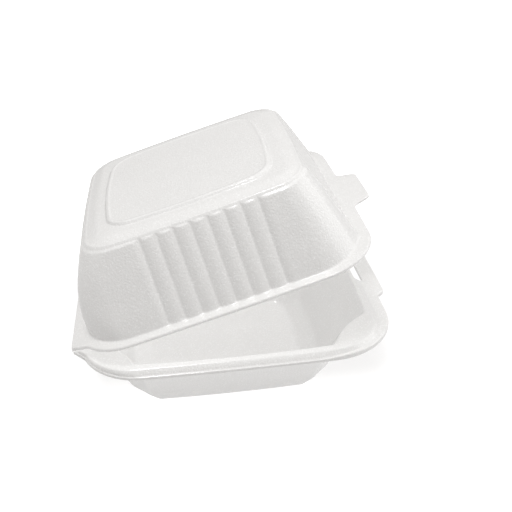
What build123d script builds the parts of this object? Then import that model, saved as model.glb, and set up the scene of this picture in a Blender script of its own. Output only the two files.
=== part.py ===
from build123d import *
import os
from math import cos, radians, sin

# Foam clamshell container, formed in one sheet and folded along a crushed line.
# Millimetres, +Z up. The origin is the centre of the flat underside.
# The front, with its lock tab, is towards -Y and the folded line is at +Y.
# Base and lid are one sheet on the real thing, parted here only so that the lid can turn.

# Sheet
sheet = 2.0  # thickness of the formed foam
wall_run = 2.25  # the same thickness measured level, through a sloped wall
fold_gap = 0.15  # from the parting plane, or from the fold's axis, to either half
overlap = 0.5  # how far joined shapes reach into each other

# Fold
fold_y = 65.5  # from the centre of the base to the folded line
lid_fold_y = 66.2  # from the centre of the lid to the folded line
parting_z = 43.5  # from the underside to the plane where the halves meet
rest_open = 16.5  # how far the lid stands open
base_fold_half = 52.5  # half the length of the folded strip
lid_fold_half = 54.0

# Base bowl, inside
floor_half_x = 34.8  # half the flat floor
floor_half_y = 37.0
floor_bow = 0.8
floor_cut = 3.6  # cut off each corner of the floor
bevel_half_x = 39.0  # half the upper edge of the sloped band round the floor
bevel_half_y = 44.2
bevel_rise = 5.8
bevel_cut = 7.0
corner_bulge = 0.3  # how far the bowl's cut corners bulge inwards, low down
mouth_half_x = 65.4  # half the bowl's opening
mouth_half_y = 59.2
mouth_bow = 1.2
ledge_cut_x = 22.0  # what a corner ledge takes off the front and rear of the opening
ledge_cut_y = 18.6  # and off its left and right
ledge_bulge = 2.2  # how far its inner edge bulges into the bowl

# Base rim
ring_half_x = 68.0  # the raised ring round the opening
ring_front = 61.9
ring_rear = 62.1
ring_corner = 20.0
ring_step = 1.9  # from the ring down to the flange
slope_run_x = 1.1  # how far the ring's slope runs out at the left and right
slope_run_y = 2.8  # and at the front
flange_half_x = 69.9
flange_front = 70.3
flange_rear = 63.4
flange_corner = 27.0
rim_bow = 1.2
hollow_inset = 4.0  # from the ring's edge to the hollow under it
hollow_corner = 12.0
lip_width = 1.8  # the turned edge under the flange
lip_drop = 0.8

# Lock
tongue_half = 24.0  # half the straight part of the base's front tongue
tongue_root_half = 27.4
tongue_reach = 3.7
tongue_corner = 0.8
slot_length = 29.0
slot_width = 2.9
slot_front = 65.2  # from the centre to the slot's front edge
slot_corner = 1.2
tab_root_half = 17.0  # half the lid's tab where it leaves the rim
tab_tip_half = 13.4
tab_reach = 8.3
tab_corner = 5.0

# Lid rim
rim_half_x = 65.4
rim_front = 64.8
rim_rear = 63.9
rim_corner = 22.0

# Lid walls
foot_half_x = 61.4  # at the top of the rim
foot_half_y = 60.0
foot_corner = 20.0
top_half = 47.2  # at the upper edge
top_corner = 11.6
wall_bow = 1.5
wall_height = 34.4  # from the top of the rim to the upper edge
edge_rise = 1.5  # the sloped band round the lid's top
edge_run = 5.6

# Flutes: sharp creases with round ribs between them
rib_count = 7
rib_pitch = 7.2
crease_depth = 1.05
inner_depth = 0.85
crease_stop = 3.0  # from the ledge where a crease ends up to the upper edge
crest_sink = 0.12  # how far the ribs' crests lie under the plain wall
side_shift = 1.1  # of the flutes on the left and right walls, towards the front

# Panel on the lid's top
panel_half = 37.0
panel_bow = 2.4
panel_corner = 9.0
panel_rise = 0.9
panel_run = 1.2

ring_top = parting_z - fold_gap
ring_under = ring_top - sheet
flange_top = ring_top - ring_step
flange_under = flange_top - sheet
lip_under = flange_under - lip_drop
rim_top = fold_gap + sheet
roof_top = rim_top + wall_height + edge_rise
crease_end = wall_height - crease_stop


def lid_plane(height):
    """The plane at a height over the parting plane of the lid, which stands open."""
    open_sin, open_cos = sin(radians(rest_open)), cos(radians(rest_open))
    corner = Vector(0, fold_y - lid_fold_y * open_cos, parting_z + lid_fold_y * open_sin)
    return Plane(origin=corner, x_dir=(1, 0, 0), z_dir=(0, open_sin, open_cos)).offset(height)


def turned_point(side, along, across):
    """A point of the front side, turned by quarter turns to another side."""
    return (Rotation(0, 0, 90 * side) * Pos(along, across)).position


def bowed_square(half_x, front, rear, bow, corner):
    """Four sides that bow out, with round corners, added to the open sketch."""
    middle = (rear - front) / 2
    with BuildLine() as outline:
        ThreePointArc((bow - half_x, bow - front), (0, -front), (half_x - bow, bow - front))
        ThreePointArc((half_x - bow, bow - front), (half_x, middle), (half_x - bow, rear - bow))
        ThreePointArc((half_x - bow, rear - bow), (0, rear), (bow - half_x, rear - bow))
        ThreePointArc((bow - half_x, rear - bow), (-half_x, middle), (bow - half_x, bow - front))
    square = make_face(outline.edges(), mode=Mode.PRIVATE).face()
    add(square.fillet_2d(corner, square.vertices()))


def cut_square(half_x, half_y, bow, cut_x, cut_y, bulge):
    """Four bowed sides, the corners cut off by arcs that bulge inwards, added to the open sketch."""
    with BuildLine() as outline:
        for side in range(4):
            lengthwise = side % 2 == 0
            along, across = (half_x, half_y) if lengthwise else (half_y, half_x)
            cut, next_cut = (cut_x, cut_y) if lengthwise else (cut_y, cut_x)
            start = turned_point(side, cut - along, bow - across)
            middle = turned_point(side, 0, -across)
            end = turned_point(side, along - cut, bow - across)
            corner_end = turned_point(side, along - bow, next_cut - across)
            inward = (Vector(0, 0) - (end + corner_end)).normalized() * bulge
            ThreePointArc(start, middle, end)
            ThreePointArc(end, (end + corner_end) / 2 + inward, corner_end)
    make_face(outline.edges())


def flute(start, crest, end, rounded):
    """One rib between two creases, as an arc or as two straight slopes."""
    if rounded:
        ThreePointArc(start, crest, end)
    else:
        Polyline(start, crest, end)


def fluted_side(side, along, across, bow, depth, rounded):
    """One side from corner to corner: plain, half a rib, the ribs, half a rib, plain."""
    end = along - bow
    shift = (0, -side_shift, 0, side_shift)[side]
    first = shift - rib_count * rib_pitch / 2
    last = shift + rib_count * rib_pitch / 2
    half, quarter = rib_pitch / 2, rib_pitch / 4

    def on_side(place, sunk=0):
        return turned_point(side, place, sunk - across + bow * (place / end) ** 2)

    ThreePointArc(on_side(-end), on_side((first - half - end) / 2), on_side(first - half))
    flute(on_side(first - half), on_side(first - quarter, depth / 4), on_side(first, depth), rounded)
    for rib in range(rib_count):
        left = first + rib * rib_pitch
        crest = on_side(left + half, min(crest_sink, depth))
        flute(on_side(left, depth), crest, on_side(left + rib_pitch, depth), rounded)
    flute(on_side(last, depth), on_side(last + quarter, depth / 4), on_side(last + half), rounded)
    ThreePointArc(on_side(last + half), on_side((last + half + end) / 2), on_side(end))


def fluted_square(half_x, half_y, bow, corner, depth, rounded):
    """Four bowed and fluted sides with round corners, added to the open sketch."""
    with BuildLine() as outline:
        for side in range(4):
            along, across = (half_x, half_y) if side % 2 == 0 else (half_y, half_x)
            fluted_side(side, along, across, bow, depth, rounded)
    square = make_face(outline.edges(), mode=Mode.PRIVATE).face()
    outermost = square.vertices().sort_by(lambda point: abs(point.X) + abs(point.Y))[-4:]
    add(square.fillet_2d(corner, outermost))


def lid_sections(levels, inset, depth, rounded):
    """Level cuts through the lid, each at a height over the rim and set in by a width of its own."""
    sections = []
    for level, band in levels:
        share = min(level / wall_height, 1)
        half_x = foot_half_x + (top_half - foot_half_x) * share - inset - band
        half_y = foot_half_y + (top_half - foot_half_y) * share - inset - band
        corner = foot_corner + (top_corner - foot_corner) * share - inset - band
        with BuildSketch(lid_plane(rim_top + level)) as section:
            fluted_square(half_x, half_y, wall_bow, corner, depth, rounded)
        sections.append(section.sketch)
    return sections


def bowl_sections(floor, bevel, grow):
    """The bowl cut level at the floor, at the top of its sloped band and at the mouth."""
    step = grow / 2
    with BuildSketch(Plane.XY.offset(floor)) as floor_section:
        cut_square(floor_half_x + step, floor_half_y + step, floor_bow, floor_cut, floor_cut, corner_bulge)
    with BuildSketch(Plane.XY.offset(bevel)) as bevel_section:
        cut_square(bevel_half_x + grow, bevel_half_y + grow, floor_bow, bevel_cut, bevel_cut, corner_bulge)
    with BuildSketch(Plane.XY.offset(ring_top)) as mouth_section:
        half_x, half_y = mouth_half_x + grow, mouth_half_y + grow
        cut_square(half_x, half_y, mouth_bow, ledge_cut_x + step, ledge_cut_y + step, ledge_bulge)
    return [floor_section.sketch, bevel_section.sketch, mouth_section.sketch]


def fold_strip(half, rear, fold):
    """The strip that runs out to the folded line, added to the open sketch."""
    with Locations((0, rear)):
        Rectangle(2 * half, fold - fold_gap - rear, align=(Align.CENTER, Align.MIN))


def flange_outline():
    """The flange without its tongue, open behind where the fold is, added to the open sketch."""
    bowed_square(flange_half_x, flange_front, flange_rear, rim_bow, flange_corner)
    with Locations((0, flange_rear)):
        Rectangle(2 * base_fold_half, 2 * flange_corner, mode=Mode.SUBTRACT)


def front_tab(root_half, tip_half, root_y, reach, corner):
    """A tab with round tips out of the front rim, added to the open sketch."""
    with BuildLine() as outline:
        Polyline(
            (-root_half, reach - root_y),
            (-root_half, -root_y),
            (-tip_half, -root_y - reach),
            (tip_half, -root_y - reach),
            (root_half, -root_y),
            (root_half, reach - root_y),
            close=True,
        )
    tab = make_face(outline.edges(), mode=Mode.PRIVATE).face()
    tips = tab.vertices().group_by(Axis.Y)[0]
    add(tab.fillet_2d(corner, tips))


with BuildPart() as base:
    # Flange with its front tongue, and its turned edge
    with BuildSketch(Plane.XY.offset(flange_under)):
        flange_outline()
        front_tab(tongue_root_half, tongue_half, flange_front - rim_bow / 2, tongue_reach, tongue_corner)
    extrude(amount=sheet)
    with BuildSketch(Plane.XY.offset(lip_under)):
        flange_outline()
    extrude(amount=lip_drop)

    # Raised ring, sloping down to the flange, and the strip to the folded line
    for height, share in ((flange_top - overlap, 1), (ring_top, 0)):
        half_x, front = ring_half_x + slope_run_x * share, ring_front + slope_run_y * share
        corner = ring_corner + slope_run_y * share
        with BuildSketch(Plane.XY.offset(height)):
            bowed_square(half_x, front, ring_rear + slope_run_x * share, rim_bow, corner)
    loft(ruled=True)
    with BuildSketch(Plane.XY.offset(ring_under)):
        fold_strip(base_fold_half, ring_rear - ring_corner, fold_y)
    extrude(amount=sheet)

    # Hollow under the flange, inside its turned edge, and under the ring
    with BuildSketch(Plane.XY.offset(lip_under)):
        half_x, front, rear = flange_half_x - lip_width, flange_front - lip_width, flange_rear - lip_width
        bowed_square(half_x, front, rear, rim_bow, flange_corner - lip_width)
    extrude(amount=lip_drop, mode=Mode.SUBTRACT)
    with BuildSketch(Plane.XY.offset(ring_under)):
        half_x, front, rear = ring_half_x - hollow_inset, ring_front - hollow_inset, ring_rear - hollow_inset
        bowed_square(half_x, front, rear, rim_bow, hollow_corner)
        with Locations((0, ring_rear)):
            Rectangle(2 * base_fold_half, 2 * ring_corner)
    extrude(amount=lip_under - ring_under, mode=Mode.SUBTRACT)

    # Bowl
    loft(bowl_sections(0, bevel_rise + sheet / 2, wall_run), ruled=True)
    loft(bowl_sections(sheet, bevel_rise + sheet, 0), ruled=True, mode=Mode.SUBTRACT)

    # Lock slot, down through the ring's slope and the flange
    with BuildSketch(Plane.XY.offset(ring_top)):
        with Locations((0, slot_width / 2 - slot_front)):
            RectangleRounded(slot_length, slot_width, slot_corner)
    extrude(amount=lip_under - ring_top, mode=Mode.SUBTRACT)

with BuildPart() as lid:
    # Rim, with its lock tab in front and the folded strip behind
    with BuildSketch(lid_plane(fold_gap)):
        bowed_square(rim_half_x, rim_front, rim_rear, rim_bow, rim_corner)
        fold_strip(lid_fold_half, rim_rear - rim_corner, lid_fold_y)
        front_tab(tab_root_half, tab_tip_half, rim_front, tab_reach, tab_corner)
    extrude(amount=sheet)

    # Walls, fluted up to where the creases end, with a sloped band and a raised panel on top
    fluted = ((-overlap, 0), (crease_end, 0))
    plain = ((crease_end, 0), (wall_height, 0), (wall_height + edge_rise, edge_run))
    loft(lid_sections(fluted, 0, crease_depth, True), ruled=True)
    loft(lid_sections(plain, 0, 0, True), ruled=True)
    for height, share in ((roof_top - overlap, 1), (roof_top + panel_rise, 0)):
        half = panel_half + panel_run * share
        with BuildSketch(lid_plane(height)):
            bowed_square(half, half, half, panel_bow, panel_corner)
    loft(ruled=True)

    # Inside
    fluted = ((-rim_top - overlap, 0), (crease_end, 0))
    inner_top = wall_height - sheet / 2
    plain = ((crease_end, 0), (inner_top, 0), (wall_height + edge_rise - sheet, edge_run - sheet / 2))
    loft(lid_sections(fluted, wall_run, inner_depth, False), ruled=True, mode=Mode.SUBTRACT)
    loft(lid_sections(plain, wall_run, 0, False), ruled=True, mode=Mode.SUBTRACT)

base.part.label = "base"
lid.part.label = "lid"

os.makedirs("parts", exist_ok=True)
export_step(base.part, "parts/base.step")
export_step(lid.part, "parts/lid.step")
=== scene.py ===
from math import cos, radians, sin

import bpy
import numpy as np
from mathutils import Matrix, Vector


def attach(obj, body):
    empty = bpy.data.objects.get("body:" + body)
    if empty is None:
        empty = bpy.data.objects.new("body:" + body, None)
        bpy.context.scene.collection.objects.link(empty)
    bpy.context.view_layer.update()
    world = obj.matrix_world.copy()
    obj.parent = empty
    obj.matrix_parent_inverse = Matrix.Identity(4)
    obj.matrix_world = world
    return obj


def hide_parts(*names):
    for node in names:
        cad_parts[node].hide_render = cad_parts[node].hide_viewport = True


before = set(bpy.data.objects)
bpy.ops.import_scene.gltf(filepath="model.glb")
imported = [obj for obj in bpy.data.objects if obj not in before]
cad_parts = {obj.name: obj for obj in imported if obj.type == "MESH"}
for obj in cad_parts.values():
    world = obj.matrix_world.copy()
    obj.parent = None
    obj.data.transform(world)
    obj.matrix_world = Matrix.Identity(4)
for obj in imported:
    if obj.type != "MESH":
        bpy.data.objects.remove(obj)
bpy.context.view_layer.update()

# Foam clamshell container. Lengths are in millimetres until a mesh is made.
# -X is the near side in the photograph, and -Y is the front with the lock tab.
MM = 0.001

# Fold and the lid's opening
FOLD_Y = 65.5
LID_FOLD_Y = 66.2
PARTING_Z = 43.5
REST_OPEN = 16.5

# Sheet and rim
WALL_RUN = 2.25
RIM_BOW = 1.2

# Points round a ring: in a corner, in a side's plain parts, in a rib, and in a rounded bend
CORNER_STEPS = 26
PLAIN_STEPS = 9
RIB_STEPS = 14
ROUND_STEPS = 5
SHORTEST = 0.001
LONGEST_BEND = 0.45
LINE_SAMPLES = 3000
SOFT_SAMPLES = 4096

# Flutes
RIB_COUNT = 7
RIB_PITCH = 7.2
SIDE_SHIFT = 1.1
CREASE_DEPTH = 1.05
INNER_CREASE_DEPTH = 0.85
CREST_SINK = 0.12
RIB_CLEAR = 0.5

SIDE_COUNT = 2 * PLAIN_STEPS + (RIB_COUNT + 1) * RIB_STEPS + 1


# ---- Rings of points ----

def flute_columns(side):
    """Places of the fluted part's points along a side, with their shares of crease and crest."""
    shift = (0, -SIDE_SHIFT, 0, SIDE_SHIFT)[side]
    half_steps = RIB_STEPS // 2
    first = shift - RIB_COUNT * RIB_PITCH / 2
    count = RIB_COUNT * RIB_STEPS
    steps = np.arange(-half_steps, count + half_steps + 1) / RIB_STEPS
    crease = (2 * np.abs(steps - np.round(steps)) - 1) ** 2
    crest = (1 - crease) * ((steps >= 0) & (steps <= RIB_COUNT))
    return first + steps * RIB_PITCH, crease, crest


def turned(points, side):
    """Points of the front side, turned by quarter turns to another side."""
    angle = radians(90 * side)
    turn = np.array([[cos(angle), sin(angle)], [-sin(angle), cos(angle)]])
    return points @ turn


def round_ring(half_x, front, rear, bow, corner, crease=0.0, crest=0.0, rear_corner=None):
    """Four bowed sides with round corners, and creases of a given depth between the ribs."""
    before = (half_x, front, half_x, rear)
    after = (half_x, rear, half_x, front)
    across = (front, half_x, rear, half_x)
    rear_corner = corner if rear_corner is None else rear_corner
    ring = []
    for side in range(4):
        start = (corner, corner, rear_corner, rear_corner)[side] - before[side]
        turn = (corner, rear_corner, rear_corner, corner)[side]
        end = after[side] - turn
        places, crease_share, crest_share = flute_columns(side)
        places = places * min(1, (min(-start, end) - RIB_CLEAR) / np.abs(places).max())
        plain_start = np.linspace(start, places[0], PLAIN_STEPS + 1)[:-1]
        plain_end = np.linspace(places[-1], end, PLAIN_STEPS + 1)[1:]
        angle = np.linspace(0, np.pi / 2, CORNER_STEPS + 1)[1:-1]
        along = np.concatenate([plain_start, places, plain_end, end + turn * np.sin(angle)])
        out = np.full(len(along), across[side])
        out[PLAIN_STEPS:PLAIN_STEPS + len(places)] -= crease * crease_share + crest * crest_share
        out[-len(angle):] += turn * (np.cos(angle) - 1)
        ring.append(turned(np.stack([along, -out], axis=1), side))
    ring = np.concatenate(ring)
    x, y = ring[:, 0], ring[:, 1]
    half_y = np.where(y < 0, front, rear)
    bowed_x = x * (1 - bow / half_x * (y / half_y) ** 2)
    bowed_y = y * (1 - bow / half_y * (x / half_x) ** 2)
    return np.stack([bowed_x, bowed_y], axis=1)


def cut_ring(half_x, half_y, bow, cut_x, cut_y, bulge, soft):
    """Four bowed sides whose corners are cut off by arcs that bulge inwards."""
    ring = []
    for side in range(4):
        along, across, cut, next_cut = (
            (half_x, half_y, cut_x, cut_y) if side % 2 == 0 else (half_y, half_x, cut_y, cut_x)
        )
        place = np.linspace(-1, 1, SIDE_COUNT)
        line = np.stack([place * (along - cut), bow * place ** 2 - across], axis=1)
        corner_start = line[-1]
        corner_end = np.array([along - bow, next_cut - across])
        share = np.linspace(0, 1, CORNER_STEPS + 1)[1:-1, None]
        inward = np.array([-1.0, 1.0]) / np.sqrt(2)
        arc = corner_start + (corner_end - corner_start) * share
        arc = arc + inward * bulge * 4 * share * (1 - share)
        ring.append(turned(np.concatenate([line, arc]), side))
    return softened(np.concatenate(ring), soft)


def softened(ring, radius):
    """The closed ring with its corners rounded, each point kept at its place round it."""
    closed = np.vstack([ring, ring[:1]])
    length = np.concatenate([[0], np.cumsum(np.linalg.norm(np.diff(closed, axis=0), axis=1))])
    even = np.linspace(0, length[-1], SOFT_SAMPLES, endpoint=False)
    wave = 2 * np.pi * np.fft.rfftfreq(SOFT_SAMPLES, length[-1] / SOFT_SAMPLES)
    fade = np.exp(-(wave * radius) ** 2 / 2)
    smooth = []
    for axis in range(2):
        values = np.interp(even, length, closed[:, axis])
        values = np.fft.irfft(np.fft.rfft(values) * fade, SOFT_SAMPLES)
        values = np.append(values, values[0])
        smooth.append(np.interp(length[:-1], np.append(even, length[-1]), values))
    return np.stack(smooth, axis=1)


def with_tongue(ring, root_half, tip_half, reach):
    """The ring with a slant-sided tongue on its front, its points spaced evenly along the line."""
    part = ring[:SIDE_COUNT]
    order = np.argsort(part[:, 0])
    x = np.linspace(part[:, 0].min(), part[:, 0].max(), LINE_SAMPLES)
    y = np.interp(x, part[order, 0], part[order, 1])
    y = y + np.sign(y) * reach * np.clip((root_half - np.abs(x)) / (root_half - tip_half), 0, 1)
    length = np.concatenate([[0], np.cumsum(np.hypot(np.diff(x), np.diff(y)))])
    even = np.linspace(0, length[-1], SIDE_COUNT)
    line = np.stack([np.interp(even, length, x), np.interp(even, length, y)], axis=1)
    ring = ring.copy()
    ring[:SIDE_COUNT] = line if part[0, 0] < part[-1, 0] else line[::-1]
    return ring


def inset(ring, distance):
    """The ring moved inwards, square to its own line, by a distance or one for each point."""
    along = np.roll(ring, -1, axis=0) - np.roll(ring, 1, axis=0)
    along /= np.linalg.norm(along, axis=1)[:, None]
    return ring + np.stack([-along[:, 1], along[:, 0]], axis=1) * np.reshape(distance, (-1, 1))


def level(ring, height):
    """A flat ring of points set at a height, or at a height for each of its points."""
    return np.column_stack([ring, np.broadcast_to(height, len(ring))])


def eased(share):
    """A share cut to 0 to 1, with soft ends."""
    share = np.clip(share, 0, 1)
    return share * share * (3 - 2 * share)


def rounded(rings):
    """Rings and how far their bends are rounded in, more rings out. A bend is a soft curve."""
    result = [rings[0][0]]
    for index in range(1, len(rings) - 1):
        here, radius = rings[index]
        if radius <= 0:
            result.append(here)
            continue
        ends = []
        for other in (rings[index - 1][0], rings[index + 1][0]):
            distance = np.maximum(np.linalg.norm(other - here, axis=1), SHORTEST)[:, None]
            ends.append(here + (other - here) * np.minimum(radius / distance, LONGEST_BEND))
        for share in np.linspace(0, 1, ROUND_STEPS):
            side = (1 - share) ** 2 * ends[0] + share ** 2 * ends[1]
            result.append(side + 2 * share * (1 - share) * here)
    result.append(rings[-1][0])
    return result


def turned_edge(outline, top, under, radius):
    """Rings round the edge of a rim, from its top face to its underside."""
    rings = []
    for angle in np.linspace(0, np.pi / 2, ROUND_STEPS + 1):
        line = inset(outline, radius * (1 - sin(angle)))
        rings.append((level(line, top - radius * (1 - cos(angle))), 0))
    for angle in np.linspace(np.pi / 2, np.pi, ROUND_STEPS + 1):
        line = inset(outline, radius * (1 - sin(angle)))
        rings.append((level(line, under + radius * (1 + cos(angle))), 0))
    return rings


def shell(name, rings, place=None):
    """A closed shell through a stack of rings, from one face's middle to the other's."""
    count = len(rings[0])
    points = np.concatenate(rings)
    middles = np.array([rings[0].mean(axis=0), rings[-1].mean(axis=0)])
    points = np.concatenate([points, middles])
    if place is not None:
        points = place(points)
    column = np.arange(count)
    ahead = (column + 1) % count
    faces = []
    for number in range(len(rings) - 1):
        a, b = number * count, (number + 1) * count
        faces += np.stack([a + column, b + column, b + ahead, a + ahead], axis=1).tolist()
    top, under = len(rings) * count, len(rings) * count + 1
    faces += np.stack([np.full(count, top), column, ahead], axis=1).tolist()
    last = (len(rings) - 1) * count
    faces += np.stack([np.full(count, under), last + ahead, last + column], axis=1).tolist()
    mesh = bpy.data.meshes.new(name)
    mesh.from_pydata((points * MM).tolist(), [], faces)
    mesh.validate()
    mesh.polygons.foreach_set("use_smooth", [True] * len(mesh.polygons))
    mesh.update()
    piece = bpy.data.objects.new(name, mesh)
    bpy.context.scene.collection.objects.link(piece)
    return piece


# ---- Lid ----

# Rim and wall. A level cut through the wall has a half size and a corner, at its foot and its top.
RIM_TOP = 2.15
RIM_UNDER = 0.55
RIM_EDGE = 0.75
WALL_HEIGHT = 34.4
WALL_LOWEST = 2.0
FOOT_HALF_X, FOOT_HALF_Y, FOOT_CORNER = 61.4, 60.0, 20.0
TOP_HALF, TOP_CORNER = 47.2, 11.6
WALL_BOW = 1.5
WALL_CROWN = 0.7
REAR_CROWN = 3.2
REAR_SQUARING = 4.0
FRONT_RECESS, RECESS_RAMP = 0.9, 3.0
OUTER_RINGS = 14
FOOT_BEND = 0.8

# Upper edge, from the roof outwards: a sloping border, a dip, a bead, a step and a ledge
EDGE_RISE, EDGE_RUN, BORDER_BEND = 1.5, 5.6, 1.6
DIP_INSET, DIP_BEND = 1.4, 0.3
EDGE_BEAD_RISE, EDGE_BEAD_INSET, EDGE_BEAD_BEND = 0.34, 0.4, 0.6
STEP_HEIGHT, STEP_GROW, STEP_BEND = 33.65, 0.03, 0.25
LEDGE_HEIGHT, LEDGE_GROW, LEDGE_BEND = 33.1, 0.8, 0.55
LEDGE_FADE, LEDGE_GAP = 14.0, 0.9

# Raised panel on the roof, with a bead inside its edge
PANEL_HALF, PANEL_FRONT, PANEL_BOW, PANEL_CORNER = 37.0, 36.0, 2.4, 9.0
PANEL_RISE, PANEL_RUN = 1.0, 0.9
PANEL_TOP_BEND, PANEL_FOOT_BEND = 0.25, 0.35
BEAD_RISE, BEAD_WIDTH, BEAD_BEND = 0.25, 0.9, 0.3

# Inside of the lid, where the creases run out below the roof
ROOF_SHEET = 2.0
INNER_EDGE = 1.0
CREASE_TOP, CREASE_RAMP = 33.2, 2.6
RAMP_RINGS, INNER_RINGS = 9, 10
INNER_WALL_BEND, INNER_ROOF_BEND, INNER_PANEL_BEND = 1.2, 1.0, 0.6

# Rim's outline, with its lock tab and its strip to the fold
LID_RIM_HALF_X, LID_RIM_FRONT, LID_RIM_REAR, LID_RIM_CORNER = 65.2, 64.6, 63.9, 22.0
LID_RIM_SOFT = 1.3
LID_FOLD_HALF = 54.0
FOLD_GAP = 0.15
TAB_ROOT_HALF, TAB_TIP_HALF, TAB_REACH = 16.5, 13.0, 8.3


def lid_place(points):
    """From the lid's own frame, flat on the parting plane, to where the lid stands open."""
    tilt_sin, tilt_cos = sin(radians(REST_OPEN)), cos(radians(REST_OPEN))
    x, y, z = points[:, 0], points[:, 1] - LID_FOLD_Y, points[:, 2]
    placed_y = FOLD_Y + y * tilt_cos + z * tilt_sin
    placed_z = PARTING_Z - y * tilt_sin + z * tilt_cos
    return np.stack([x, placed_y, placed_z], axis=1)


def lid_wall(height, grow, crease, crest):
    """A level cut through the lid's wall at a height over its rim."""
    share = height / WALL_HEIGHT
    crown = 4 * share * (1 - share) if 0 < share < 1 else 0
    half_x = FOOT_HALF_X + (TOP_HALF - FOOT_HALF_X) * share + grow + WALL_CROWN * crown
    half_y = FOOT_HALF_Y + (TOP_HALF - FOOT_HALF_Y) * share + grow
    corner = FOOT_CORNER + (TOP_CORNER - FOOT_CORNER) * share + grow
    front, rear = half_y + WALL_CROWN * crown, half_y + REAR_CROWN * crown
    rear_corner = corner - REAR_SQUARING * crown
    ring = round_ring(half_x, front, rear, WALL_BOW, corner, crease, crest, rear_corner)
    if crease > 0:
        ramp = eased((half_x - corner - np.abs(ring[:, 0])) / RECESS_RAMP)
        ring[:, 1] += FRONT_RECESS * ramp * (ring[:, 1] < 0)
    return level(ring, RIM_TOP + height)


def wall_line(height, grow, crease=0.0):
    """A level cut through the lid's wall, as a flat line to be set at another height."""
    return lid_wall(height, grow, crease, 0)[:, :2]


def inner_wall():
    """Rings of the wall's inside, from the rim up, close together where the creases run out."""
    ramp = np.linspace(CREASE_TOP, CREASE_TOP - CREASE_RAMP, RAMP_RINGS)
    lower = np.linspace(CREASE_TOP - CREASE_RAMP, WALL_LOWEST, INNER_RINGS)[1:]
    rings = []
    for height in np.concatenate([ramp, lower])[::-1]:
        depth = INNER_CREASE_DEPTH * eased((CREASE_TOP - height) / CREASE_RAMP)
        rings.append((lid_wall(height, -WALL_RUN, depth, 0), 0))
    return rings


def lid_rim_outline():
    """The lid's rim with its lock tab in front and the strip to the fold behind."""
    ring = round_ring(LID_RIM_HALF_X, LID_RIM_FRONT, LID_RIM_REAR, RIM_BOW, LID_RIM_CORNER)
    ring = with_tongue(ring, TAB_ROOT_HALF, TAB_TIP_HALF, TAB_REACH)
    x, y = ring[:, 0], ring[:, 1]
    strip = (y > LID_RIM_REAR / 2) & (np.abs(x) < LID_FOLD_HALF)
    ring[:, 1] = np.where(strip, LID_FOLD_Y - FOLD_GAP, y)
    return softened(ring, LID_RIM_SOFT)


def panel_ring(grow):
    """The raised panel on the lid's top, grown outwards."""
    half = PANEL_HALF + grow
    return round_ring(half, PANEL_FRONT + grow, half, PANEL_BOW, PANEL_CORNER + grow)


def make_lid():
    """The lid's shell, from the panel on its top down to its rim and up again inside."""
    wall_top = RIM_TOP + WALL_HEIGHT
    roof = wall_top + EDGE_RISE
    panel_top = roof + PANEL_RISE

    # Panel and its bead
    rings = [(level(panel_ring(0) * share, panel_top), 0) for share in (0.02, 0.3, 0.6, 0.85)]
    rings.append((level(panel_ring(-2 * BEAD_WIDTH), panel_top), BEAD_BEND))
    rings.append((level(panel_ring(-BEAD_WIDTH), panel_top + BEAD_RISE), BEAD_BEND))
    rings.append((level(panel_ring(0), panel_top), PANEL_TOP_BEND))
    rings.append((level(panel_ring(PANEL_RUN), roof), PANEL_FOOT_BEND))

    # Upper edge
    dip_height = wall_top + DIP_INSET * EDGE_RISE / EDGE_RUN
    rings.append((level(wall_line(WALL_HEIGHT, -EDGE_RUN), roof), BORDER_BEND))
    rings.append((level(wall_line(WALL_HEIGHT, -DIP_INSET), dip_height), DIP_BEND))
    bead = wall_line(WALL_HEIGHT, -EDGE_BEAD_INSET)
    rings.append((level(bead, wall_top + EDGE_BEAD_RISE), EDGE_BEAD_BEND))
    rings.append((lid_wall(STEP_HEIGHT, STEP_GROW, 0, 0), STEP_BEND))
    rings.append((lid_wall(LEDGE_HEIGHT, LEDGE_GROW, CREASE_DEPTH, CREST_SINK), LEDGE_BEND))

    # Fluted wall, outside
    for height in np.linspace(LEDGE_HEIGHT - LEDGE_GAP, WALL_LOWEST, OUTER_RINGS):
        grow = LEDGE_GROW * np.clip((height - LEDGE_FADE) / (LEDGE_HEIGHT - LEDGE_FADE), 0, 1)
        rings.append((lid_wall(height, grow, CREASE_DEPTH, CREST_SINK), 0))
    rings.append((lid_wall(0, 0, CREASE_DEPTH, CREST_SINK), FOOT_BEND))

    # Rim
    rings += turned_edge(lid_rim_outline(), RIM_TOP, RIM_UNDER, RIM_EDGE)
    inner_foot = wall_line(0, -WALL_RUN, INNER_CREASE_DEPTH)
    rings.append((level(inner_foot, RIM_UNDER), INNER_WALL_BEND))

    # Inside
    under = roof - ROOF_SHEET
    rings += inner_wall()
    rings.append((level(wall_line(WALL_HEIGHT, -WALL_RUN), wall_top - INNER_EDGE), INNER_WALL_BEND))
    inner_roof = wall_line(WALL_HEIGHT, -WALL_RUN - EDGE_RUN + INNER_EDGE)
    rings.append((level(inner_roof, under), INNER_ROOF_BEND))
    inner = panel_ring(0)
    rings.append((level(inner, under), INNER_PANEL_BEND))
    rings.append((level(inset(inner, PANEL_RUN), under + PANEL_RISE), INNER_PANEL_BEND))
    rings += [(level(inner * share, under + PANEL_RISE), 0) for share in (0.5, 0.02)]
    return shell("lid_shell", rounded(rings), lid_place)


# ---- Base ----

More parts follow.
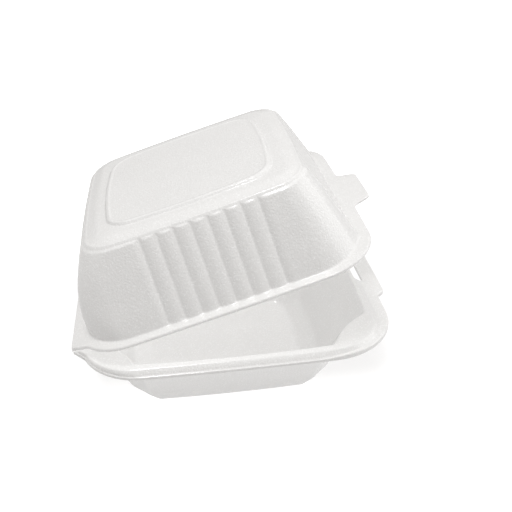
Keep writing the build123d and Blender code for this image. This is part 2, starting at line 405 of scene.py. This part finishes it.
# The bowl's sections: half sizes, bow of the sides, cuts across the corners, bulge of a cut
FLOOR = (34.8, 37.0, 0.8, 4.6, 4.6, 0.3)
BEVEL = (39.0, 44.2, 0.8, 9.5, 9.5, 0.3)
MOUTH = (65.8, 60.1, 1.2, 22.4, 19.4, 2.4)
FLOOR_SOFT, BEVEL_SOFT, MOUTH_SOFT, OUTER_MOUTH_SOFT = 1.0, 1.5, 1.6, 1.2
FLOOR_BEND, BEVEL_BEND, MOUTH_BEND = 1.8, 2.2, 0.9
OUTER_FLOOR_BEND, OUTER_BEVEL_BEND, OUTER_MOUTH_BEND = 0.9, 2.0, 0.8
FLOOR_SHEET = 2.0
BEVEL_TOP, OUTER_BEVEL_DROP = 7.8, 1.0
OUTER_MOUTH_INSET, OUTER_MOUTH_CUT = 2.9, 1.0

# The rim: a ring round the mouth, a slope, a flange, and the flange's lip
RING_TOP = 43.35
RING_HALF_X, RING_FRONT, RING_REAR, RING_CORNER = 68.0, 61.9, 62.1, 20.0
RING_BEND, SLOPE_BEND = 0.6, 0.5
SLOPE_RUN_X, SLOPE_RUN_Y = 1.1, 2.8
FLANGE_TOP = 41.45
FLANGE_UNDER = 39.6
FLANGE_HALF_X, FLANGE_FRONT, FLANGE_REAR = 70.2, 69.7, 63.4
FLANGE_CORNER, FLANGE_REAR_CORNER = 28.0, 25.0
FLANGE_SOFT = 0.6
LIP_UNDER = 38.8
LIP_EDGE, SIDE_EDGE_LESS = 0.8, 0.35
LIP_INNER, LIP_FOOT, LIP_BEND = 1.7, 2.0, 0.3

# How much lower the rim's ring, slope and edge are along the sides, where it is one rounded bead
RING_ROLL, FOOT_ROLL, EDGE_ROLL = 0.75, 0.1, 1.15
ROLL_FRONT, ROLL_RAMP = -48, 16

# The strip to the fold, the front tongue and the lock slot
BASE_FOLD_HALF = 52.5
FOLD_RAMP, STRIP_START = 1.6, 40
STRIP_RING_Y, STRIP_SLOPE_Y = 63.0, 64.0
STRIP_UNDER, STRIP_HOLLOW = 41.5, 0.7
TONGUE_ROOT_HALF, TONGUE_HALF, TONGUE_REACH = 27.4, 24.0, 3.7
SLOT_LENGTH, SLOT_WIDTH, SLOT_FRONT, SLOT_CORNER = 29.4, 4.3, 65.9, 1.2
SLOT_CORNER_POINTS = 9
SLOT_CUT_SPARE = 3
SHARP_EDGE = 55


def bowl(section, grow, height, soft, cut_grow=0.0):
    """A level cut through the bowl, grown outwards."""
    half_x, half_y, bow, cut_x, cut_y, bulge = section
    cuts = cut_x + cut_grow, cut_y + cut_grow
    return level(cut_ring(half_x + grow, half_y + grow, bow, *cuts, bulge, soft), height)


def shrunk(ring, share):
    """The ring drawn in towards the middle."""
    return ring * (share, share, 1)


def fold_share(ring):
    """One where a point belongs to the strip to the fold, falling to nothing beside it."""
    share = eased((BASE_FOLD_HALF + FOLD_RAMP / 2 - np.abs(ring[:, 0])) / FOLD_RAMP)
    return share * (ring[:, 1] > STRIP_START)


def side_share(ring):
    """One along the left and right sides, falling to nothing at the front and beside the fold."""
    return eased((ring[:, 1] - ROLL_FRONT) / ROLL_RAMP) * (1 - fold_share(ring))


def with_fold(ring, fold_y):
    """The ring with its rear run out to a line, where the strip to the fold is."""
    share = fold_share(ring)
    ring = ring.copy()
    ring[:, 1] += (fold_y - ring[:, 1]) * share
    return ring


def rim_ring(run_x, run_y, fold_y, drop, roll):
    """The rim's ring grown outwards, lower by a drop off the fold and by a roll at the sides."""
    sizes = RING_HALF_X + run_x, RING_FRONT + run_y, RING_REAR + run_x
    ring = round_ring(*sizes, RIM_BOW, RING_CORNER + run_y)
    height = RING_TOP - drop + drop * fold_share(ring) - roll * side_share(ring)
    return level(with_fold(ring, fold_y), height)


def flange_outline():
    """The base's flange with its front tongue and the strip to the fold behind."""
    sizes = FLANGE_HALF_X, FLANGE_FRONT, FLANGE_REAR
    ring = round_ring(*sizes, RIM_BOW, FLANGE_CORNER, rear_corner=FLANGE_REAR_CORNER)
    ring = with_tongue(ring, TONGUE_ROOT_HALF, TONGUE_HALF, TONGUE_REACH)
    return with_fold(softened(ring, FLANGE_SOFT), FOLD_Y - FOLD_GAP)


def make_base():
    """The base's shell, from its floor up over its rim and down again outside."""
    # Inside
    floor = bowl(FLOOR, 0, FLOOR_SHEET, FLOOR_SOFT)
    rings = [(shrunk(floor, share), 0) for share in (0.02, 0.4, 0.8)]
    rings.append((floor, FLOOR_BEND))
    rings.append((bowl(BEVEL, 0, BEVEL_TOP, BEVEL_SOFT), BEVEL_BEND))
    rings.append((bowl(MOUTH, 0, RING_TOP, MOUTH_SOFT), MOUTH_BEND))

    # Rim
    rings.append((rim_ring(0, 0, STRIP_RING_Y, 0, RING_ROLL), RING_BEND))
    step = RING_TOP - FLANGE_TOP
    rings.append((rim_ring(SLOPE_RUN_X, SLOPE_RUN_Y, STRIP_SLOPE_Y, step, FOOT_ROLL), SLOPE_BEND))
    outline = flange_outline()
    top = FLANGE_TOP + step * fold_share(outline) - EDGE_ROLL * side_share(outline)
    drop = (STRIP_UNDER - LIP_UNDER) * fold_share(outline)
    edge = LIP_EDGE - SIDE_EDGE_LESS * side_share(outline)
    rings += turned_edge(outline, top, LIP_UNDER + drop, edge)
    rings.append((level(inset(outline, LIP_INNER), LIP_UNDER + drop), LIP_BEND))
    hollow = FLANGE_UNDER + drop * STRIP_HOLLOW
    rings.append((level(inset(outline, LIP_FOOT), hollow), LIP_BEND))

    # Outside
    mouth = bowl(
        MOUTH, WALL_RUN - OUTER_MOUTH_INSET, FLANGE_UNDER, OUTER_MOUTH_SOFT, OUTER_MOUTH_CUT
    )
    rings.append((mouth, OUTER_MOUTH_BEND))
    bevel = bowl(BEVEL, WALL_RUN, BEVEL_TOP - OUTER_BEVEL_DROP, BEVEL_SOFT)
    rings.append((bevel, OUTER_BEVEL_BEND))
    underside = bowl(FLOOR, WALL_RUN / 2, 0.0, FLOOR_SOFT)
    rings.append((underside, OUTER_FLOOR_BEND))
    rings.append((shrunk(underside, 0.02), 0))
    piece = shell("base_shell", rounded(rings))
    cut_slot(piece)
    return piece


def cut_slot(piece):
    """Cuts the lock slot down through the rim's slope and the flange."""
    half, depth = SLOT_LENGTH / 2 - SLOT_CORNER, SLOT_WIDTH / 2 - SLOT_CORNER
    middle = SLOT_WIDTH / 2 - SLOT_FRONT
    outline = []
    for corner in range(4):
        centre_x = half if corner in (0, 3) else -half
        centre_y = middle + (depth if corner in (0, 1) else -depth)
        for angle in np.linspace(90 * corner, 90 * corner + 90, SLOT_CORNER_POINTS):
            x = centre_x + SLOT_CORNER * cos(radians(angle))
            outline.append((x, centre_y + SLOT_CORNER * sin(radians(angle))))
    count = len(outline)
    heights = (LIP_UNDER - SLOT_CUT_SPARE, RING_TOP + SLOT_CUT_SPARE)
    points = [(x * MM, y * MM, z * MM) for z in heights for x, y in outline]
    faces = [tuple(range(count))[::-1], tuple(range(count, 2 * count))]
    for number in range(count):
        after = (number + 1) % count
        faces.append((number, after, count + after, count + number))
    mesh = bpy.data.meshes.new("slot_cutter")
    mesh.from_pydata(points, [], faces)
    cutter = bpy.data.objects.new("slot_cutter", mesh)
    bpy.context.scene.collection.objects.link(cutter)
    modifier = piece.modifiers.new("slot", "BOOLEAN")
    modifier.operation = "DIFFERENCE"
    modifier.solver = "EXACT"
    modifier.object = cutter
    seen = bpy.context.evaluated_depsgraph_get()
    cut = bpy.data.meshes.new_from_object(piece.evaluated_get(seen))
    piece.modifiers.clear()
    piece.data = cut
    bpy.data.objects.remove(cutter)
    cut.set_sharp_from_angle(angle=radians(SHARP_EDGE))


# ---- Fold ----

WEB_HALF, WEB_RADIUS = 52.3, 0.5
WEB_RINGS, WEB_TURNS = 160, 14
WEB_TAPER, WEB_TIP = 1.5, 0.3


def make_fold():
    """The crushed web along the fold, a thin uneven bead that both halves turn about."""
    angle = np.linspace(0, 2 * np.pi, WEB_TURNS, endpoint=False)
    rings = []
    for place in np.linspace(-WEB_HALF, WEB_HALF, WEB_RINGS):
        end = min(1, (WEB_HALF - abs(place)) / WEB_TAPER + WEB_TIP)
        creased = 0.12 * np.sin(place * 2.1 + 2 * angle) + 0.1 * np.sin(place * 0.7 - angle)
        size = WEB_RADIUS * end * (1 + creased)
        x = np.full(WEB_TURNS, place)
        y, z = FOLD_Y - size * np.cos(angle), PARTING_Z + size * np.sin(angle)
        rings.append(np.stack([x, y, z], axis=1))
    return shell("fold_web", rings)


# ---- Camera ----

VIEW_ANGLES = (-97.33, 29.1, -1.25)
VIEW_AIM = (0.0017, -0.0174, 0.0505)
VIEW_DISTANCE = 0.3501
VIEW_LENS = 51.45


def make_camera():
    """The photograph's view."""
    data = bpy.data.cameras.new("camera")
    camera = bpy.data.objects.new("camera", data)
    bpy.context.scene.collection.objects.link(camera)
    azimuth, elevation, roll = (radians(angle) for angle in VIEW_ANGLES)
    across = cos(elevation)
    back = Vector((sin(azimuth) * across, -cos(azimuth) * across, sin(elevation)))
    camera.location = Vector(VIEW_AIM) + back * VIEW_DISTANCE
    camera.rotation_mode = "QUATERNION"
    turn = Matrix.Rotation(roll, 3, "Z").to_quaternion()
    camera.rotation_quaternion = (-back).to_track_quat("-Z", "Y") @ turn
    data.lens = VIEW_LENS
    bpy.context.scene.camera = camera


# ---- Materials ----

# White foam. Lengths are in metres here.
FOAM_COLOUR = (0.84, 0.835, 0.825)
CLOUD_SHADE = 0.965
# Painted glints: small white specks mixed into the foam's colour as highlights
PAINTED_GLINT_SHARE = 0.5
PAINTED_GLINT_START = 0.8
PAINTED_GLINT_CELL = 0.00045
GRAIN_SCALE, GRAIN_ROUGHNESS = 1100.0, 0.7
CLOUD_SCALE = 90.0
GRAIN_BUMP, GRAIN_HEIGHT = 0.9, 0.0002
ROUGHNESS_RANGE = {"From Max": 0.8, "To Min": 0.42, "To Max": 0.55}
FOAM_IOR = 1.45
SKIN_COAT, SKIN_COAT_ROUGHNESS = 0.6, 0.14
SHEET_TRANSLUCENCY = 0.88

# White sweep: how much it glows to the eye near the box and to other rays, and its shaded place.
# Both glows are painted light: to other rays the floor lights the box like a lamp, and to the eye
# it glows to white away from the box, which paints the place of the shade round it.
PAPER_GREY = 0.8
FLOOR_GLOW = 0.22
FLOOR_PAINTED_BOUNCE = 0.13
PAINTED_SHADE_SHIFT, PAINTED_SHADE_STRETCH = (-0.065, 0.035, 0.0), (1.7, 0.75, 1.0)
PAINTED_SHADE_START, PAINTED_SHADE_END = 0.11, 0.2


def link(tree, source, target):
    tree.links.new(source, target)


def node(tree, kind, **settings):
    """A new node with its properties and unlinked inputs set."""
    made = tree.nodes.new(kind)
    inputs = settings.pop("inputs", {})
    for name, value in settings.items():
        setattr(made, name, value)
    for name, value in inputs.items():
        made.inputs[name].default_value = value
    return made


def foam_grain_and_painted_glint_group():
    """Foam's skin: a fine grain as height, sparse small painted glints as a mask, and slow
    cloudiness.
    """
    group = bpy.data.node_groups.new("foam grain and painted glints", "ShaderNodeTree")
    for name in ("Height", "Painted Glint", "Cloud"):
        group.interface.new_socket(name, in_out="OUTPUT", socket_type="NodeSocketFloat")
    place = node(group, "ShaderNodeTexCoord")
    grain = node(group, "ShaderNodeTexNoise", inputs={
        "Scale": GRAIN_SCALE, "Detail": 1.0, "Roughness": GRAIN_ROUGHNESS,
    })
    cloud = node(group, "ShaderNodeTexNoise", inputs={"Scale": CLOUD_SCALE, "Detail": 1.0})
    for texture in (grain, cloud):
        link(group, place.outputs["Object"], texture.inputs["Vector"])
    snapped = node(group, "ShaderNodeVectorMath", operation="SNAP", inputs={1: [PAINTED_GLINT_CELL] * 3})
    link(group, place.outputs["Object"], snapped.inputs[0])
    cell = node(group, "ShaderNodeTexWhiteNoise", noise_dimensions="3D")
    link(group, snapped.outputs["Vector"], cell.inputs["Vector"])
    painted_glint_mask = node(group, "ShaderNodeMapRange", inputs={"From Min": PAINTED_GLINT_START, "From Max": 1.0})
    link(group, cell.outputs["Value"], painted_glint_mask.inputs["Value"])
    out = node(group, "NodeGroupOutput")
    link(group, grain.outputs["Fac"], out.inputs["Height"])
    link(group, painted_glint_mask.outputs["Result"], out.inputs["Painted Glint"])
    link(group, cloud.outputs["Fac"], out.inputs["Cloud"])
    return group


def foam_material():
    """White foam sheet with a satin skin: fine cells, cloudy tone and a few glints painted white
    into its colour.
    """
    material = bpy.data.materials.new("white_foam")
    material.use_nodes = True
    tree = material.node_tree
    skin = tree.nodes["Principled BSDF"]
    cells_and_painted_glints = node(tree, "ShaderNodeGroup", node_tree=foam_grain_and_painted_glint_group())
    tone = node(tree, "ShaderNodeMix", data_type="RGBA")
    tone.inputs["A"].default_value = tuple(value * CLOUD_SHADE for value in FOAM_COLOUR) + (1,)
    tone.inputs["B"].default_value = FOAM_COLOUR + (1,)
    link(tree, cells_and_painted_glints.outputs["Cloud"], tone.inputs["Factor"])
    # Painted highlight: sparse white glints mixed into the base colour
    painted_glint_colour = node(tree, "ShaderNodeMix", data_type="RGBA")
    painted_glint_colour.inputs["B"].default_value = (1, 1, 1, 1)
    strength = node(tree, "ShaderNodeMath", operation="MULTIPLY", inputs={1: PAINTED_GLINT_SHARE})
    link(tree, cells_and_painted_glints.outputs["Painted Glint"], strength.inputs[0])
    link(tree, strength.outputs[0], painted_glint_colour.inputs["Factor"])
    link(tree, tone.outputs["Result"], painted_glint_colour.inputs["A"])
    link(tree, painted_glint_colour.outputs["Result"], skin.inputs["Base Color"])
    rough = node(tree, "ShaderNodeMapRange", inputs=ROUGHNESS_RANGE)
    link(tree, cells_and_painted_glints.outputs["Height"], rough.inputs["Value"])
    link(tree, rough.outputs["Result"], skin.inputs["Roughness"])
    relief = node(tree, "ShaderNodeBump", inputs={"Strength": GRAIN_BUMP, "Distance": GRAIN_HEIGHT})
    link(tree, cells_and_painted_glints.outputs["Height"], relief.inputs["Height"])
    link(tree, relief.outputs["Normal"], skin.inputs["Normal"])
    skin.inputs["IOR"].default_value = FOAM_IOR
    skin.inputs["Coat Weight"].default_value = SKIN_COAT
    skin.inputs["Coat Roughness"].default_value = SKIN_COAT_ROUGHNESS

    # Light falls through the thin sheet, so the inside is nearly as bright as the outside
    rays = node(tree, "ShaderNodeLightPath")
    soft_rays = node(tree, "ShaderNodeMath", operation="MAXIMUM")
    link(tree, rays.outputs["Is Shadow Ray"], soft_rays.inputs[0])
    link(tree, rays.outputs["Is Diffuse Ray"], soft_rays.inputs[1])
    through = node(tree, "ShaderNodeMath", operation="MULTIPLY", inputs={1: SHEET_TRANSLUCENCY})
    link(tree, soft_rays.outputs[0], through.inputs[0])
    clear = node(tree, "ShaderNodeBsdfTransparent")
    mixed = node(tree, "ShaderNodeMixShader")
    link(tree, through.outputs[0], mixed.inputs["Fac"])
    link(tree, skin.outputs["BSDF"], mixed.inputs[1])
    link(tree, clear.outputs["BSDF"], mixed.inputs[2])
    link(tree, mixed.outputs["Shader"], tree.nodes["Material Output"].inputs["Surface"])
    return material


def floor_material():
    """White sweep that takes the lamps' soft shadow beside the box and glows to plain white round
    it: a painted shade where it glows less, and painted bounce light on the box.
    """
    material = bpy.data.materials.new("white_sweep")
    material.use_nodes = True
    tree = material.node_tree
    paper = tree.nodes["Principled BSDF"]
    paper.inputs["Base Color"].default_value = (PAPER_GREY, PAPER_GREY, PAPER_GREY, 1)
    paper.inputs["Roughness"].default_value = 1.0
    paper.inputs["Specular IOR Level"].default_value = 0.0
    paper.inputs["Emission Color"].default_value = (1, 1, 1, 1)
    place = node(tree, "ShaderNodeTexCoord")
    # Painted shade: the floor glows less near the box, so the lamps' shadow shows only in this
    # place
    painted_shade_place = node(tree, "ShaderNodeMapping", inputs={
        "Location": PAINTED_SHADE_SHIFT, "Scale": PAINTED_SHADE_STRETCH,
    })
    link(tree, place.outputs["Object"], painted_shade_place.inputs["Vector"])
    distance = node(tree, "ShaderNodeVectorMath", operation="LENGTH")
    link(tree, painted_shade_place.outputs["Vector"], distance.inputs[0])
    painted_shade_glow = node(tree, "ShaderNodeMapRange", inputs={
        "From Min": PAINTED_SHADE_START, "From Max": PAINTED_SHADE_END, "To Min": FLOOR_GLOW, "To Max": 1.0,
    })
    link(tree, distance.outputs["Value"], painted_shade_glow.inputs["Value"])
    # Painted bounce light: to other rays the floor glows as if it were a lamp
    rays = node(tree, "ShaderNodeLightPath")
    strength = node(tree, "ShaderNodeMix", data_type="FLOAT")
    strength.inputs["A"].default_value = FLOOR_PAINTED_BOUNCE
    link(tree, rays.outputs["Is Camera Ray"], strength.inputs["Factor"])
    link(tree, painted_shade_glow.outputs["Result"], strength.inputs["B"])
    link(tree, strength.outputs["Result"], paper.inputs["Emission Strength"])
    return material


# ---- Stage ----

FLOOR_SIZE, FLOOR_DROP = 3.0, 0.0002
WORLD_LIGHT = 0.33
WORLD_TINT = (1.0, 0.965, 0.935)
LAMP_TINT = (0.99, 0.995, 1.0)
LAMP_AIM = (0, 0, 0.05)

# Lamps: name, place, size and power
LAMPS = (
    ("overhead", (-0.08, 0.1, 0.95), 0.2, 5.6),
    ("front_fill", (-0.1, -1.0, 0.45), 0.9, 4.3),
)


def make_floor():
    """The white floor under the box."""
    mesh = bpy.data.meshes.new("floor")
    corners = [(-1, -1), (1, -1), (1, 1), (-1, 1)]
    points = [(x * FLOOR_SIZE, y * FLOOR_SIZE, -FLOOR_DROP) for x, y in corners]
    mesh.from_pydata(points, [], [(0, 1, 2, 3)])
    floor = bpy.data.objects.new("floor", mesh)
    bpy.context.scene.collection.objects.link(floor)
    mesh.materials.append(floor_material())


def make_world():
    """A dome: plain white where it is seen, and lower and a little warm as light."""
    world = bpy.data.worlds.new("white_dome")
    world.use_nodes = True
    tree = world.node_tree
    background = tree.nodes["Background"]
    rays = node(tree, "ShaderNodeLightPath")
    tint = node(tree, "ShaderNodeMix", data_type="RGBA")
    tint.inputs["A"].default_value = WORLD_TINT + (1,)
    tint.inputs["B"].default_value = (1, 1, 1, 1)
    link(tree, tint.outputs["Result"], background.inputs["Color"])
    seen = node(tree, "ShaderNodeMath", operation="MAXIMUM")
    link(tree, rays.outputs["Is Camera Ray"], seen.inputs[0])
    link(tree, rays.outputs["Is Transmission Ray"], seen.inputs[1])
    strength = node(tree, "ShaderNodeMapRange", inputs={"To Min": WORLD_LIGHT, "To Max": 1.0})
    link(tree, seen.outputs[0], strength.inputs["Value"])
    link(tree, seen.outputs[0], tint.inputs["Factor"])
    link(tree, strength.outputs["Result"], background.inputs["Strength"])
    bpy.context.scene.world = world


def make_lights():
    """A small soft box overhead for the glints along the edges, and a wide fill in front."""
    for name, place, size, power in LAMPS:
        data = bpy.data.lights.new(name, "AREA")
        data.size = size
        data.energy = power
        data.color = LAMP_TINT
        lamp = bpy.data.objects.new(name, data)
        bpy.context.scene.collection.objects.link(lamp)
        lamp.location = place
        aim = Vector(LAMP_AIM) - Vector(place)
        lamp.rotation_euler = aim.to_track_quat("-Z", "Y").to_euler()


lid = make_lid()
base = make_base()
web = make_fold()
foam = foam_material()
for piece, body in ((lid, "lid"), (base, "base"), (web, "base")):
    piece.data.materials.append(foam)
    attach(piece, body)
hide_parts("lid")
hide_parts("base")

make_camera()
make_floor()
make_world()
make_lights()
bpy.context.scene.view_settings.view_transform = "Standard"
